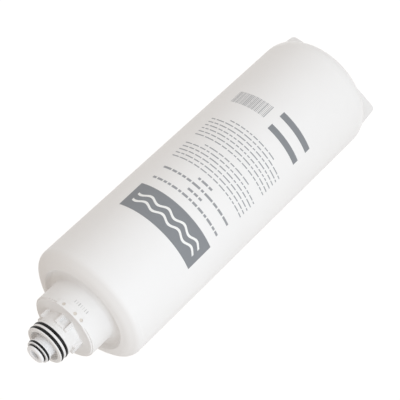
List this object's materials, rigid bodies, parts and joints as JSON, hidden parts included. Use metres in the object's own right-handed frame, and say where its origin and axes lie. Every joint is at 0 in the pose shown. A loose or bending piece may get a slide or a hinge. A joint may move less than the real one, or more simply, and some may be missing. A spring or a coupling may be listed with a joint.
{
  "type": "ro membrane element",
  "caption": "Sealed white reverse osmosis membrane cartridge with a collared quick-connect neck, stepped O-ring spigots, bayonet lugs and a bar grip across the far end.",
  "frame": {"origin": "on the cartridge's axis, level with the rim of the collar round the neck", "axes": "+Z along the axis, out of the neck; -Y towards the print and the collar's pad; X along the bar grip"},
  "size_m": [0.0964, 0.0964, 0.3463],
  "materials": {
    "shell_white": "matte moulded, warm white",
    "cap_white": "moulded, slightly glossy white",
    "insert_white": "moulded, glossy cool white",
    "seal_rubber": "lightly greased black",
    "core_white": "extruded natural white",
    "membrane_leaves": "wound film and mesh",
    "wrap_tape": "wound adhesive tape",
    "end_cap_grey": "moulded grey"
  },
  "bodies": {
    "root": {"shell": "shell_white", "grip_cap": "cap_white", "port_insert": "insert_white", "large_o_ring_front": "seal_rubber", "large_o_ring_rear": "seal_rubber", "middle_o_ring": "seal_rubber", "tip_o_ring": "seal_rubber", "tube_o_ring_upper": "seal_rubber", "tube_o_ring_lower": "seal_rubber", "permeate_tube": "core_white", "tube_plug": "core_white", "membrane_roll": "membrane_leaves", "roll_wrap": "wrap_tape", "upper_end_cap": "end_cap_grey", "lower_end_cap": "end_cap_grey", "brine_seal": "seal_rubber"}
  },
  "joints": []
}
